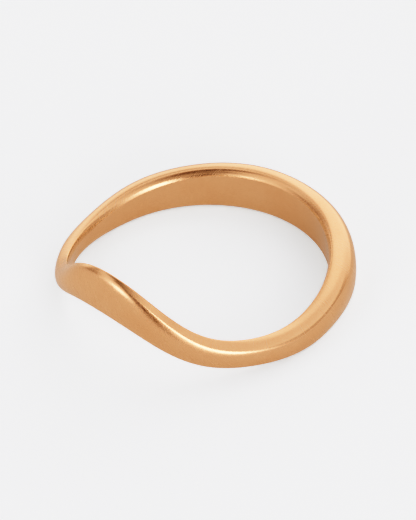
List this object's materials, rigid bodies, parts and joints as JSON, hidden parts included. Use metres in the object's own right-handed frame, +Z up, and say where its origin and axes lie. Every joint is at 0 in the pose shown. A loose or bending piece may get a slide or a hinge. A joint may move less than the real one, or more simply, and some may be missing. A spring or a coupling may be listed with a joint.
{
  "type": "curved finger ring",
  "caption": "Plain finger ring: one solid band whose edges sweep up into a single crest, thin and narrow-walled there and thick and tall at the back.",
  "frame": {"origin": "on the axis of the finger hole, at the height of the surface that the ring lies on", "axes": "+Z up the axis of the finger hole, -Y towards the wave's crest, +Y towards the thick back"},
  "size_m": [0.0196, 0.0196, 0.007],
  "materials": {
    "gold": "satin 18 karat gold, very finely brushed across the band"
  },
  "bodies": {
    "root": {"band": "gold"}
  },
  "joints": []
}
